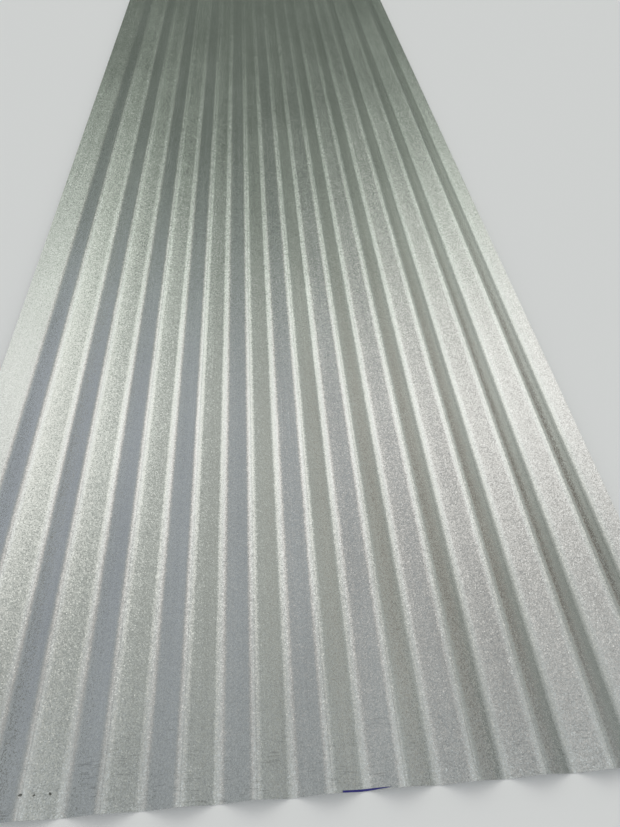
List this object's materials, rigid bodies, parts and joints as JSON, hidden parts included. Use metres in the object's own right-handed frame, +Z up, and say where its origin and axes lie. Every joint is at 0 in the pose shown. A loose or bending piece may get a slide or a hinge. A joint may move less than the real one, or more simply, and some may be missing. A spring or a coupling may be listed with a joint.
{
  "type": "corrugated roofing sheet",
  "caption": "Long sheet of thin coated steel, rolled into even round waves along its length, with a wide flat lip on one edge and a short sloping lip on the other, for roofs and walls.",
  "frame": {"origin": "middle of the sheet, on the level that its valleys rest on", "axes": "+X across the waves, from the wide lip to the short lip; +Y along the waves; +Z up, out of the crests"},
  "size_m": [0.9072, 3, 0.0164],
  "materials": {
    "coated_steel": "satin aluminium and zinc coating with a fine crystalline sparkle"
  },
  "bodies": {
    "root": {"corrugated_sheet": "coated_steel"}
  },
  "joints": []
}
